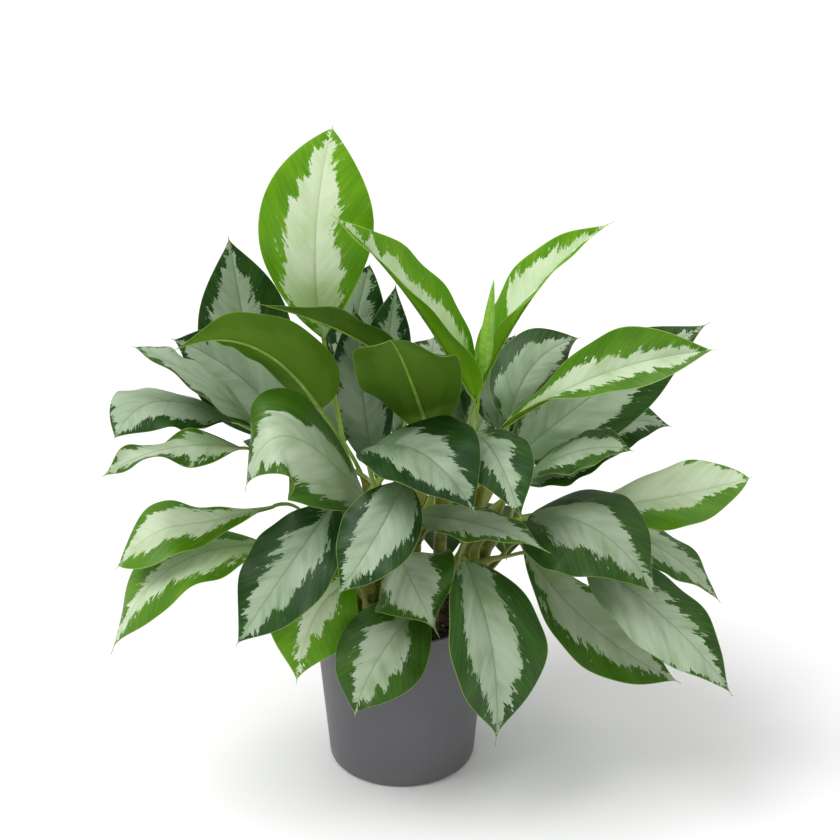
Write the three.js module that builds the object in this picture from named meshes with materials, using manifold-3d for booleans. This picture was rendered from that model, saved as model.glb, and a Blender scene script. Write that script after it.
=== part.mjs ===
// A silver-variegated Chinese evergreen in its grower's pot, in millimetres, +Z up.
// The origin is the middle of the pot's underside. The side seen in the photograph looks
// along +Y, so -Y is the front and +X is the right.
//
// Pieces: the pot, the potting soil, nine canes that stand in holes in the soil, one rolled
// new leaf and the open leaves. A leaf is one body: a channelled stalk that widens into a blade.

import * as THREE from 'three';
import { mergeVertices } from 'three/addons/utils/BufferGeometryUtils.js';
import Module from 'manifold-3d';

// ---------------------------------------------------------------- driving dimensions

const GAP = 0.3; // clearance between pieces that touch on the real plant

const pot = {
  height: 205, topRadius: 105, footRadius: 88, footRounding: 6, wall: 1.8, floor: 2.5,
  sides: 40, drainHoles: 8, drainRadius: 5, drainCircle: 58,
};
const soil = { level: 188, mound: 6, holeDepth: 55, holeClearance: 1.4, sides: 30 };

const cane = { footRadius: 9.5, topRadius: 8, sides: 12, steps: 5 };
const canes = {
  left: { foot: [-48, 2], top: [-66, 2, 300] },
  left_back: { foot: [-30, 48], top: [-48, 62, 300] },
  front_left: { foot: [-24, -50], top: [-40, -60, 258] },
  centre: { foot: [4, -14], top: [-4, -18, 300] },
  front: { foot: [34, -58], top: [40, -68, 262] },
  middle: { foot: [42, 2], top: [48, 4, 330] },
  right: { foot: [80, -22], top: [94, -28, 288] },
  right_back: { foot: [70, 44], top: [88, 60, 300] },
  back: { foot: [14, 66], top: [18, 88, 290] },
};
const feet = { belowTop: 10, step: 8, turn: 50, splay: 0.5, clear: 0.6 }; // where stalks leave a cane

// Every blade's midrib runs from its base through its middle to its tip. "face" is where the
// upper side looks at the middle, "fold" lifts both halves towards it and "curl" turns the
// margins back, in degrees. "twist" turns the blade along the midrib, "wave" is the height of
// the ripple along the margins and "droop" lowers the tip. "widest" is where along the blade
// it is widest, and "point" how drawn out the tip is. "lean" shifts the stalk's bend.
const leafDefaults = {
  width: 105, fold: 12, curl: 10, twist: 0, wave: 3, ripples: 1.5, droop: 0, widest: 0.45,
  point: 0.5, lean: [0, 0, 0],
};

const leaves = {
  top_upright: {
    cane: 'left', base: [-85, 0, 530], middle: [-90, -10, 650], tip: [-70, 20, 765],
    face: [0.05, -0.97, 0.2], width: 124, fold: 8, curl: 8, widest: 0.55, point: 0.1, lean: [2, -34, 0],
  },
  left_arching: {
    cane: 'left', base: [-87, -42, 462], middle: [-155, -85, 550], tip: [-235, -120, 555],
    face: [0.1, 0.9, 0.4], width: 94, fold: 42, curl: 10, widest: 0.25,
  },
  middle_arching: {
    cane: 'left', base: [0, -10, 495], middle: [-60, -45, 553], tip: [-150, -80, 595],
    face: [0.2, 0.6, 0.75], width: 58, fold: 35, widest: 0.36, lean: [0, -6, 0],
  },
  centre_leaning: {
    cane: 'centre', base: [35, -40, 425], middle: [8, -120, 537], tip: [-8, -186, 590],
    face: [0.1, 0.75, 0.6], width: 112, fold: 10, wave: 7, widest: 0.5, ripples: 2,
  },
  left_folded: {
    cane: 'middle', base: [80, -38, 476], middle: [7, -46, 597], tip: [-70, -60, 685],
    face: [0.71, -0.34, 0.6], width: 88, fold: 46, curl: 6, widest: 0.33, twist: -60,
  },
  right_folded: {
    cane: 'middle', base: [85, 12, 456], middle: [153, 12, 586], tip: [236, 30, 656],
    face: [-0.71, -0.34, 0.6], width: 78, fold: 46, widest: 0.33, twist: 60,
  },
  right_bright: {
    cane: 'middle', base: [107, -35, 433], middle: [212, -80, 515], tip: [330, -120, 558],
    face: [-0.2, -0.5, 0.8], width: 80, fold: 35, widest: 0.6, twist: 80,
  },
  back_left_upright: {
    cane: 'left_back', base: [-170, 70, 395], middle: [-185, 100, 515], tip: [-200, 110, 620],
    face: [0.2, -0.9, 0.3], width: 112, fold: 12, widest: 0.43,
  },
  left_upper: {
    cane: 'left', base: [-165, -30, 445], middle: [-222, -58, 508], tip: [-285, -70, 545],
    face: [-0.2, -0.15, 0.95], width: 98, fold: 10,
  },
  left_upper_behind: {
    cane: 'left_back', base: [-115, 10, 405], middle: [-185, 10, 485], tip: [-255, 0, 530],
    face: [-0.2, -0.7, 0.7], width: 105, fold: 10, lean: [0, 6, -4],
  },
  left_middle_behind: {
    cane: 'left', base: [-180, -28, 441], middle: [-250, -70, 482], tip: [-298, -136, 482],
    face: [0, -0.3, 0.95], width: 98, fold: 5, curl: 15, droop: 20, widest: 0.55, point: 0.2,
    lean: [0, 0, 4],
  },
  left_middle: {
    cane: 'left', base: [-172, -82, 433], middle: [-240, -154, 461], tip: [-305, -168, 436],
    face: [0, -0.2, 0.98], width: 57, fold: 10, wave: 13, ripples: 1.5, lean: [0, 4, 8],
  },
  left_front: {
    cane: 'front_left', base: [-38, -76, 368], middle: [-116, -136, 468], tip: [-163, -135, 404],
    face: [0.42, -0.6, 0.7], width: 136, fold: 2, lean: [-5, 5, 0], curl: 12, widest: 0.4,
  },
  behind_top: {
    cane: 'left_back', base: [-65, 70, 430], middle: [-55, 90, 510], tip: [-35, 100, 590],
    face: [0, -0.9, 0.4], width: 68, fold: 10, lean: [0, 4, 0], widest: 0.55, point: 0.1,
  },
  behind_middle: {
    cane: 'centre', base: [-20, 50, 430], middle: [-15, 60, 500], tip: [-5, 70, 575],
    face: [0, -0.9, 0.4], width: 55, fold: 10,
  },
  shaded_upright: {
    cane: 'centre', base: [-31, 9, 372], middle: [-45, 26, 470], tip: [-53, 44, 558],
    face: [0.1, -0.95, 0.3], width: 70, fold: 10, lean: [0, 14, 0],
  },
  centre_front: {
    cane: 'centre', base: [-30, -60, 425], middle: [28, -150, 452], tip: [80, -196, 404],
    face: [0.1, -0.5, 0.85], width: 120, fold: 24, curl: 14,
  },
  centre_front_behind: {
    cane: 'front', base: [80, -62, 442], middle: [103, -138, 443], tip: [127, -186, 394],
    face: [0.1, -0.6, 0.77], width: 78, fold: 20, curl: 14,
  },
  twisted_centre: {
    cane: 'front', base: [14, -80, 352], middle: [92, -138, 366], tip: [158, -184, 356],
    face: [0, -0.1, 1], width: 64, fold: 10, twist: -40, lean: [-2, 10, 0],
  },
  right_behind: {
    cane: 'right_back', base: [125, 30, 420], middle: [155, 70, 475], tip: [210, 80, 505],
    face: [-0.2, -0.7, 0.7], width: 90, fold: 10,
  },
  right_behind_inner: {
    cane: 'right_back', base: [115, 70, 395], middle: [120, 90, 455], tip: [135, 110, 500],
    face: [0, -0.9, 0.4], width: 80, fold: 10,
  },
  right_long: {
    cane: 'right_back', base: [125, -10, 385], middle: [235, 20, 468], tip: [350, 30, 540],
    face: [-0.2, -0.85, 0.5], width: 104, fold: 8, lean: [4, 2, 0],
  },
  right_middle: {
    cane: 'right', base: [145, -40, 385], middle: [200, -80, 430], tip: [250, -110, 440],
    face: [0, -0.4, 0.9], width: 66, fold: 10,
  },
  right_under: {
    cane: 'right', base: [141, -28, 369], middle: [192, -60, 402], tip: [245, -80, 428],
    face: [0, -0.4, 0.9], width: 48, fold: 10,
  },
  right_far_behind: {
    cane: 'right_back', base: [185, 40, 375], middle: [255, 60, 405], tip: [320, 60, 400],
    face: [0, -0.5, 0.85], width: 72, fold: 10,
  },
  right_front: {
    cane: 'right', base: [145, -70, 348], middle: [215, -130, 355], tip: [275, -170, 295],
    face: [0.3, -0.6, 0.75], width: 142, fold: 2, widest: 0.35,
  },
  right_far: {
    cane: 'right_back', base: [186, 0, 318], middle: [300, -20, 345], tip: [395, -40, 380],
    face: [0, -0.5, 0.87], width: 88, fold: 10, widest: 0.62, point: 0.05,
  },
  right_low: {
    cane: 'right', base: [235, 30, 290], middle: [315, 10, 260], tip: [375, -20, 210],
    face: [0.3, -0.2, 0.9], width: 80, fold: 10, lean: [0, 8, -14],
  },
  right_hanging: {
    cane: 'right', base: [140, -30, 290], middle: [215, -80, 215], tip: [320, -100, 150],
    face: [0.2, -0.6, 0.77], width: 92, fold: 10, widest: 0.58,
  },
  right_hanging_outer: {
    cane: 'right', base: [212, -80, 293], middle: [299, -140, 246], tip: [365, -160, 170],
    face: [0.3, -0.6, 0.75], width: 95, fold: 10, wave: 5, widest: 0.38,
  },
  front_hanging: {
    cane: 'front', base: [72, -100, 306], middle: [100, -165, 230], tip: [105, -175, 115],
    face: [0.5, -0.8, 0.3], width: 124, fold: 26, widest: 0.48, point: 1.2,
  },
  front_low: {
    cane: 'front', base: [24, -99, 254], middle: [-25, -159, 213], tip: [-50, -170, 150],
    face: [-0.1, -0.9, 0.4], width: 100, fold: 6, widest: 0.43,
  },
  front_waved: {
    cane: 'front_left', base: [-2, -75, 303], middle: [13, -136, 299], tip: [43, -173, 250],
    face: [-0.35, -0.5, 0.8], width: 112, fold: -8, wave: -16, ripples: 1, point: 2,
  },
  front_silver: {
    cane: 'centre', base: [5, -110, 405], middle: [-25, -165, 365], tip: [-65, -190, 310],
    face: [-0.2, -0.8, 0.5], width: 85, fold: 10,
  },
  front_left_silver: {
    cane: 'front_left', base: [-70, -70, 365], middle: [-119, -130, 315], tip: [-180, -150, 225],
    face: [-0.3, -0.7, 0.6], width: 105, fold: 10, lean: [-8, -8, 6], widest: 0.53,
  },
  front_left_young: {
    cane: 'front_left', base: [-52, -84, 270], middle: [-92, -114, 250], tip: [-116, -136, 170],
    face: [0.2, -0.8, 0.55], width: 122, fold: 8, lean: [2, -8, -2],
  },
  left_low: {
    cane: 'left', base: [-140, -50, 350], middle: [-226, -90, 346], tip: [-312, -112, 350],
    face: [-0.2, -0.5, 0.85], width: 84, fold: 8, widest: 0.72, droop: 50, point: 0.1,
  },
  left_lowest: {
    cane: 'front_left', base: [-145, -66, 306], middle: [-250, -112, 303], tip: [-320, -130, 205],
    face: [-0.3, -0.3, 0.9], width: 104, fold: 8, widest: 0.5, lean: [-4, 4, 8], wave: 6, ripples: 2,
  },
  back_upright: {
    cane: 'back', base: [30, 112, 385], middle: [36, 165, 440], tip: [40, 215, 462],
    face: [0, -0.7, 0.7], width: 90,
  },
  back_right: {
    cane: 'right_back', base: [90, 110, 370], middle: [130, 200, 420], tip: [150, 280, 390],
    face: [0, -0.2, 0.97], width: 105,
  },
  back_right_low: {
    cane: 'right_back', base: [120, 90, 340], middle: [190, 150, 370], tip: [240, 200, 320],
    face: [0.1, 0, 0.99], width: 100,
  },
  back_centre_right: {
    cane: 'back', base: [50, 120, 360], middle: [60, 220, 400], tip: [60, 300, 350],
    face: [0, 0, 1], width: 105,
  },
  back_centre_left: {
    cane: 'back', base: [-10, 120, 370], middle: [-30, 210, 410], tip: [-50, 290, 360],
    face: [0, 0, 1], width: 105,
  },
  back_left: {
    cane: 'left_back', base: [-70, 110, 360], middle: [-130, 180, 410], tip: [-170, 240, 370],
    face: [0, 0, 1], width: 105,
  },
  back_left_low: {
    cane: 'left_back', base: [-90, 80, 330], middle: [-150, 130, 360], tip: [-200, 170, 330],
    face: [-0.1, 0, 0.99], width: 95,
  },
  back_low_right: {
    cane: 'back', base: [84, 104, 284], middle: [118, 158, 236], tip: [136, 186, 160],
    face: [0.3, 0.7, 0.65], width: 95,
  },
  back_low_centre: {
    cane: 'back', base: [24, 113, 288], middle: [43, 150, 238], tip: [56, 172, 160],
    face: [0.1, 0.7, 0.7], width: 84,
  },
};

const blade = {
  steps: 8, across: [-1, -0.55, 0, 0.55, 1], thickness: 0.9, ribDepth: 1.6, start: 0.05, end: 0.99,
};
const stalk = { footRadius: 4.2, neckRadius: 2.4, steps: 4, flat: 0.6, groove: 0.7, rise: 0.42, reach: 0.3 };
const spear = { cane: 'middle', base: [91, -30, 500], tip: [101, -34, 608], radius: 7.5, turns: 0.4 };

const look = {
  pot: { color: 0x55575a, roughness: 0.55, metalness: 0 },
  soil: { color: 0x2c221a, roughness: 0.95, metalness: 0 },
  cane: { color: 0x7d8644, roughness: 0.5, metalness: 0 },
  youngLeaf: { color: 0x86b832, roughness: 0.4, metalness: 0 },
  leaf: { color: 0x6f9468, roughness: 0.42, metalness: 0 },
};

// ---------------------------------------------------------------- small helpers

const point = ([x, y, z]) => new THREE.Vector3(x, y, z);
const mix = (a, b, s) => a + (b - a) * s;
const UP = new THREE.Vector3(0, 0, 1);

function addPiece(group, name, geometry, finish) {
  const mesh = new THREE.Mesh(geometry, new THREE.MeshStandardMaterial(finish));
  mesh.name = name;
  group.add(mesh);
}

// A closed skin over rings of equally many points, with a fan over each end. From the place
// "mirrored" on, the quads are split the other way, so that a blade's two faces split alike.
function skinOverRings(rings, mirrored = Infinity) {
  const count = rings[0].length;
  const positions = rings.flat().flatMap((p) => [p.x, p.y, p.z]);
  const triangles = [];
  for (let ring = 0; ring + 1 < rings.length; ring += 1) {
    for (let i = 0; i < count; i += 1) {
      const next = (i + 1) % count;
      const a = ring * count + i;
      const b = ring * count + next;
      if (i < mirrored) triangles.push(a, b, b + count, a, b + count, a + count);
      else triangles.push(a, b, a + count, b, b + count, a + count);
    }
  }
  const last = (rings.length - 1) * count;
  for (let i = 1; i + 1 < count; i += 1) {
    triangles.push(0, i + 1, i, last, last + i, last + i + 1);
  }
  const geometry = new THREE.BufferGeometry();
  geometry.setAttribute('position', new THREE.Float32BufferAttribute(positions, 3));
  geometry.setIndex(triangles);
  return geometry;
}

// ---------------------------------------------------------------- leaves

// The leaf's own frame at one place: "along" runs to the tip, "side" to the blade's right
// edge and "out" away from its upper face.
function frameAt(along, sideHint) {
  const side = sideHint.clone().addScaledVector(along, -sideHint.dot(along)).normalize();
  return { along, side, out: new THREE.Vector3().crossVectors(side, along) };
}

function midribOf(leaf) {
  const base = point(leaf.base);
  const middle = point(leaf.middle);
  const tip = point(leaf.tip);
  const control = middle.clone().multiplyScalar(2).sub(base.clone().add(tip).multiplyScalar(0.5));
  return new THREE.QuadraticBezierCurve3(base, control, tip);
}

function halfWidthAt(leaf, t) {
  const shift = Math.log(0.5) / Math.log(leaf.widest);
  const swell = Math.sin(Math.PI * t ** shift);
  return 0.5 * leaf.width * Math.max(swell, 0) ** (0.75 + leaf.point * t ** 4);
}

// The blade's cross-section at t: five points over the upper face, then five back under it.
function bladeRing(leaf, midrib, side, t) {
  const at = midrib.getPoint(t);
  at.z -= leaf.droop * Math.max(0, (t - 0.6) / 0.4) ** 2;
  const along = midrib.getTangent(t);
  const turned = side.clone().applyAxisAngle(along, THREE.MathUtils.degToRad(leaf.twist * (t - 0.5)));
  const frame = frameAt(along, turned);
  const halfWidth = halfWidthAt(leaf, t);
  const fold = THREE.MathUtils.degToRad(leaf.fold);
  const curl = THREE.MathUtils.degToRad(leaf.curl);
  const surface = (u, lift) => {
    const q = Math.abs(u);
    const angle = fold - curl * q;
    const ripple = leaf.wave * q * q * Math.sin(Math.PI * t)
      * Math.sin(2 * Math.PI * leaf.ripples * t + (u < 0 ? 1.6 : 0));
    return at.clone()
      .addScaledVector(frame.side, Math.sign(u) * q * halfWidth * Math.cos(angle))
      .addScaledVector(frame.out, q * halfWidth * Math.sin(angle) + ripple + lift);
  };
  const rib = blade.ribDepth * (1 - t);
  const top = blade.across.map((u) => surface(u, blade.thickness / 2));
  const under = blade.across.map((u) => surface(u, -blade.thickness / 2 - (u === 0 ? rib : 0)));
  return [...top, ...under.reverse()];
}

// The stalk's cross-section: round at its foot, and further up a half-round with a shallow
// groove along its upper face. "channelled" runs from 0 to 1.
function stalkRing(at, frame, radius, channelled) {
  const ring = [];
  for (let i = 0; i < 10; i += 1) {
    const angle = Math.PI * (1.1 + i / 5);
    const flat = Math.max(0, -Math.sin(angle));
    const height = -Math.sin(angle) - channelled * (1 - stalk.flat + stalk.groove * flat) * flat;
    ring.push(at.clone()
      .addScaledVector(frame.side, Math.cos(angle) * radius)
      .addScaledVector(frame.out, height * radius));
  }
  return ring;
}

function caneCurve(stem) {
  const foot = new THREE.Vector3(stem.foot[0], stem.foot[1], soil.level - soil.holeDepth + GAP);
  const collar = new THREE.Vector3(stem.foot[0], stem.foot[1], soil.level + 2 * soil.mound);
  return new THREE.CubicBezierCurve3(foot, collar, collar, point(stem.top));
}

function caneRadiusAt(s) {
  return mix(cane.footRadius, cane.topRadius, s);
}

// The middle of a cane at a height, with its direction and radius there.
function caneAt(stem, height) {
  const axis = caneCurve(stem).getPoints(cane.steps);
  const upper = axis.findIndex((place) => place.z > height);
  const [below, above] = [axis[upper - 1], axis[upper]];
  const s = (height - below.z) / (above.z - below.z);
  return {
    middle: below.clone().lerp(above, s),
    along: above.clone().sub(below).normalize(),
    radius: caneRadiusAt((upper - 1 + s) / cane.steps) * Math.cos(Math.PI / cane.sides),
  };
}

// Where each leaf's stalk leaves its cane. The stalks stand side by side round the cane, in the
// order of the directions that they lean to, and the leaf that is carried highest leaves highest.
function seatsOn(caneName) {
  const stem = canes[caneName];
  const crown = point(stem.top);
  const own = Object.entries({ ...leaves, spear })
    .filter(([, leaf]) => leaf.cane === caneName)
    .map(([name, leaf]) => ({
      name,
      carried: leaf.base[2],
      direction: Math.atan2(leaf.base[1] - crown.y, leaf.base[0] - crown.x),
    }));
  own.sort((a, b) => a.direction - b.direction);
  const step = Math.min((2 * Math.PI) / own.length, THREE.MathUtils.degToRad(feet.turn));
  const offsets = own.map((leaf, i) => leaf.direction - i * step);
  const start = Math.atan2(
    offsets.reduce((sum, angle) => sum + Math.sin(angle), 0),
    offsets.reduce((sum, angle) => sum + Math.cos(angle), 0),
  );
  const byHeight = [...own].sort((a, b) => b.carried - a.carried);
  const seats = {};
  own.forEach((leaf, i) => {
    const angle = start + i * step;
    const height = crown.z - feet.belowTop - feet.step * byHeight.indexOf(leaf);
    const outward = new THREE.Vector3(Math.cos(angle), Math.sin(angle), 0);
    seats[leaf.name] = { ...caneAt(stem, height), outward };
  });
  return seats;
}

// The stalk rises beside its cane and bends over to meet the midrib.
function stalkCurve(seat, neck, arriving, lean) {
  const reach = seat.radius + stalk.footRadius + feet.clear;
  const foot = seat.middle.clone().addScaledVector(seat.outward, reach);
  const span = neck.distanceTo(foot);
  const leaving = seat.along.clone().addScaledVector(seat.outward, feet.splay);
  return new THREE.CubicBezierCurve3(
    foot,
    foot.clone().addScaledVector(leaving, stalk.rise * span).add(lean),
    neck.clone().addScaledVector(arriving, -stalk.reach * span).add(lean),
    neck,
  );
}

function stalkRings(curve, seat, side) {
  const footSide = new THREE.Vector3().crossVectors(seat.outward, UP);
  if (footSide.dot(side) < 0) footSide.negate();
  const rings = [];
  for (let i = 0; i <= stalk.steps; i += 1) {
    const s = i / stalk.steps;
    const along = i === 0 ? seat.along : curve.getTangent(s);
    const frame = frameAt(along, footSide.clone().lerp(side, s));
    const radius = mix(stalk.footRadius, stalk.neckRadius, Math.sqrt(s));
    rings.push(stalkRing(curve.getPoint(s), frame, radius, s));
  }
  return rings;
}

function leafGeometry(leaf, seat) {
  const midrib = midribOf(leaf);
  const side = new THREE.Vector3().crossVectors(midrib.getTangent(0.5), point(leaf.face)).normalize();
  const curve = stalkCurve(seat, point(leaf.base), midrib.getTangent(0), point(leaf.lean));
  const rings = stalkRings(curve, seat, side);
  for (let i = 0; i < blade.steps; i += 1) {
    const t = mix(blade.start, blade.end, i / (blade.steps - 1));
    rings.push(bladeRing(leaf, midrib, side, t));
  }
  return skinOverRings(rings, blade.across.length);
}

// A new leaf, still rolled into a spear: a stalk that swells and runs out in a long point.
function spearGeometry(seat) {
  const neck = point(spear.base);
  const tip = point(spear.tip);
  const along = tip.clone().sub(neck).normalize();
  const side = new THREE.Vector3(0, 1, 0);
  const rings = stalkRings(stalkCurve(seat, neck, along, new THREE.Vector3()), seat, side);
  const length = neck.distanceTo(tip);
  for (const s of [0.12, 0.3, 0.5, 0.7, 0.85, 0.97]) {
    const radius = Math.max(0.8, spear.radius * Math.sin(Math.PI * s ** 0.6) ** 0.8);
    const turn = side.clone().applyAxisAngle(along, spear.turns * 2 * Math.PI * s);
    const at = neck.clone().addScaledVector(along, s * length);
    rings.push(stalkRing(at, frameAt(along, turn), radius, 0.5));
  }
  return skinOverRings(rings);
}

// ---------------------------------------------------------------- canes, soil and pot

function caneGeometry(stem) {
  const curve = caneCurve(stem);
  const rings = [];
  for (let i = 0; i <= cane.steps; i += 1) {
    const s = i / cane.steps;
    const frame = frameAt(curve.getTangent(s), new THREE.Vector3(1, 0, 0));
    const ring = [];
    for (let k = 0; k < cane.sides; k += 1) {
      const angle = (2 * Math.PI * k) / cane.sides;
      ring.push(curve.getPoint(s)
        .addScaledVector(frame.side, Math.cos(angle) * caneRadiusAt(s))
        .addScaledVector(frame.out, -Math.sin(angle) * caneRadiusAt(s)));
    }
    rings.push(ring);
  }
  return skinOverRings(rings);
}

const wasm = await Module();
wasm.setup();

function toSolid(geometry) {
  const plain = geometry.clone();
  plain.deleteAttribute('normal');
  plain.deleteAttribute('uv');
  const merged = mergeVertices(plain, 1e-4);
  return new wasm.Manifold(new wasm.Mesh({
    numProp: 3,
    vertProperties: Float32Array.from(merged.attributes.position.array),
    triVerts: Uint32Array.from(merged.index.array),
  }));
}

function fromSolid(solid) {
  const mesh = solid.getMesh();
  const geometry = new THREE.BufferGeometry();
  geometry.setAttribute('position', new THREE.Float32BufferAttribute(mesh.vertProperties, 3));
  geometry.setIndex(Array.from(mesh.triVerts));
  return geometry;
}

function outerRadiusAt(z) {
  return mix(pot.footRadius, pot.topRadius, z / pot.height);
}

// A body of revolution about Z from [radius, height] pairs.
function turned(profile, sides) {
  const geometry = new THREE.LatheGeometry(profile.map(([r, z]) => new THREE.Vector2(r, z)), sides);
  return geometry.rotateX(Math.PI / 2);
}

function uprightPeg(radius, low, high, x, y) {
  const geometry = new THREE.CylinderGeometry(radius, radius, high - low, 12);
  return geometry.rotateX(Math.PI / 2).translate(x, y, (low + high) / 2);
}

function potGeometry() {
  const footTurn = [0, 0.3, 0.6, 1].map((s) => {
    const angle = (Math.PI / 2) * s;
    const radius = mix(pot.footRadius, outerRadiusAt(pot.footRounding), s);
    return [radius - pot.footRounding * (1 - Math.sin(angle)), pot.footRounding * (1 - Math.cos(angle))];
  });
  const innerTurn = footTurn.map(([r, z]) => [r - pot.wall, z + pot.floor]).reverse();
  const profile = [
    [0, 0], ...footTurn, [pot.topRadius - 0.6, pot.height - 1], [pot.topRadius - 1, pot.height],
    [pot.topRadius - pot.wall, pot.height - 0.5], ...innerTurn, [0, pot.floor],
  ];
  let solid = toSolid(turned(profile, pot.sides));
  for (let i = 0; i < pot.drainHoles; i += 1) {
    const angle = (2 * Math.PI * i) / pot.drainHoles;
    const x = pot.drainCircle * Math.cos(angle);
    const y = pot.drainCircle * Math.sin(angle);
    const hole = uprightPeg(pot.drainRadius, -5, pot.floor + 5, x, y);
    solid = solid.subtract(toSolid(hole));
  }
  return fromSolid(solid);
}

function soilGeometry() {
  const foot = outerRadiusAt(pot.footRounding) - pot.wall - GAP - 1;
  const brim = outerRadiusAt(soil.level) - pot.wall - GAP - 0.6;
  const profile = [
    [0, pot.floor + GAP], [pot.footRadius - pot.footRounding - 4, pot.floor + GAP],
    [foot, pot.footRounding + pot.floor + 2], [brim, soil.level - 2],
    [0.9 * brim, soil.level + 1], [0.5 * brim, soil.level + 0.8 * soil.mound],
    [0, soil.level + soil.mound],
  ];
  let solid = toSolid(turned(profile, soil.sides));
  for (const stem of Object.values(canes)) {
    const floor = soil.level - soil.holeDepth;
    const hole = uprightPeg(cane.footRadius + soil.holeClearance, floor, soil.level + 40, ...stem.foot);
    solid = solid.subtract(toSolid(hole));
  }
  return fromSolid(solid);
}

// ---------------------------------------------------------------- the plant

const group = new THREE.Group();
addPiece(group, 'pot', potGeometry(), look.pot);
addPiece(group, 'soil', soilGeometry(), look.soil);
for (const [caneName, stem] of Object.entries(canes)) {
  addPiece(group, `cane_${caneName}`, caneGeometry(stem), look.cane);
  const seats = seatsOn(caneName);
  for (const [name, seat] of Object.entries(seats)) {
    if (name === 'spear') addPiece(group, 'rolled_leaf', spearGeometry(seat), look.youngLeaf);
    else addPiece(group, `leaf_${name}`, leafGeometry({ ...leafDefaults, ...leaves[name] }, seat), look.leaf);
  }
}

export default group;
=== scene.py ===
import math

import bmesh
import bpy
import numpy as np
from mathutils import Euler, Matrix, Vector, noise as mathutils_noise


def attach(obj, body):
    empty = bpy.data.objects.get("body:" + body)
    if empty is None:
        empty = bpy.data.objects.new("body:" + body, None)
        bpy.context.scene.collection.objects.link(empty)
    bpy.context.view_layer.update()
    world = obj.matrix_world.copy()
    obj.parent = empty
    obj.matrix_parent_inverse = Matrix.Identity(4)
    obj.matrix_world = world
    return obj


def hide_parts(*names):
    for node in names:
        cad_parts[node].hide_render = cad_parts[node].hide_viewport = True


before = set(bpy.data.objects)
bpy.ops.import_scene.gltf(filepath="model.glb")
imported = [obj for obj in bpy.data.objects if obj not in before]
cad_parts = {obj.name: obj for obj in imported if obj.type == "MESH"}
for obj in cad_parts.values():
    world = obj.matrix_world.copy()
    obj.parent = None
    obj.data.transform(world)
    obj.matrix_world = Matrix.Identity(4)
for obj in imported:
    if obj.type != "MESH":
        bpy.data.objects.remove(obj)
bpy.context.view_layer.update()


# ---------------------------------------------------------------- the grower's pot
# A thin-walled round pot, injection moulded in dark grey polypropylene with a satin finish.
# It tapers to a rounded foot, its rim has a soft bead, and its floor has holes for water.

POT_HEIGHT, POT_TOP_RADIUS, POT_FOOT_RADIUS = 205, 105, 88
POT_WALL, POT_FLOOR, POT_FOOT_ROUNDING = 1.8, 2.5, 6
POT_SIDES, POT_HOLLOW_RADIUS, POT_HOLLOW = 144, 70, 1.2
DRAIN_HOLES, DRAIN_RADIUS, DRAIN_CIRCLE = 8, 5, 58


def paint(red, green, blue):
    """A colour of 0 to 255 as it looks on a screen, as the renderer takes it."""
    screen = np.array((red, green, blue)) / 255
    linear = np.where(screen <= 0.04045, screen / 12.92, ((screen + 0.055) / 1.055) ** 2.4)
    return (*linear.tolist(), 1)


def place_node(tree, kind, sockets=(), **settings):
    """One shader node, with its settings made and its sockets filled or linked."""
    node = tree.nodes.new("ShaderNode" + kind)
    for name, value in settings.items():
        setattr(node, name, value)
    for name, value in dict(sockets).items():
        if isinstance(value, bpy.types.NodeSocket):
            tree.links.new(value, node.inputs[name])
        else:
            node.inputs[name].default_value = value
    return node


def sum_of(tree, operation, first, second=0.0, third=0.0):
    """The output of one Math node."""
    return place_node(tree, "Math", {0: first, 1: second, 2: third}, operation=operation).outputs[0]


def ease(tree, value, low, high, out_low=0.0, out_high=1.0):
    """The output of a smooth step between two values."""
    return place_node(
        tree, "MapRange", {0: value, 1: low, 2: high, 3: out_low, 4: out_high},
        interpolation_type="SMOOTHSTEP",
    ).outputs[0]


def blend_colours(tree, share, first, second):
    """The output of a colour mix."""
    return place_node(tree, "Mix", {0: share, 6: first, 7: second}, data_type="RGBA").outputs[2]


def noise(tree, place, scale, detail=2.0, roughness=0.5):
    """The grey output of a noise texture."""
    return place_node(
        tree, "TexNoise",
        {"Vector": place, "Scale": scale, "Detail": detail, "Roughness": roughness},
    ).outputs[0]


def stretched(tree, place, x, y, z):
    """A place with each of its axes scaled."""
    return place_node(tree, "VectorMath", {0: place, 1: (x, y, z)}, operation="MULTIPLY").outputs[0]


def new_group(name, inputs, outputs):
    """A shader group with named sockets: its tree, its inputs and its output node."""
    group = bpy.data.node_groups.new(name, "ShaderNodeTree")
    kinds = {"colour": "NodeSocketColor", "number": "NodeSocketFloat"}
    for socket, kind in inputs.items():
        group.interface.new_socket(socket, in_out="INPUT", socket_type=kinds[kind])
    for socket, kind in outputs.items():
        group.interface.new_socket(socket, in_out="OUTPUT", socket_type=kinds[kind])
    return group, group.nodes.new("NodeGroupInput").outputs, group.nodes.new("NodeGroupOutput").inputs


def new_material(name):
    """An empty material, with its tree and its output node."""
    material = bpy.data.materials.new(name)
    material.use_nodes = True
    material.node_tree.nodes.clear()
    return material, material.node_tree, place_node(material.node_tree, "OutputMaterial")


def raised(tree, height, distance):
    """A normal that follows a height."""
    return place_node(tree, "Bump", {"Height": height, "Distance": distance}).outputs[0]


def plain_surface(tree, out, colour, roughness, relief=None, depth=0.0):
    """One surface for a whole material, with a relief that is so many metres deep."""
    sockets = {"Base Color": colour, "Roughness": roughness}
    if relief is not None:
        sockets["Normal"] = raised(tree, relief, depth)
    surface = place_node(tree, "BsdfPrincipled", sockets)
    tree.links.new(surface.outputs[0], out.inputs[0])


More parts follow.
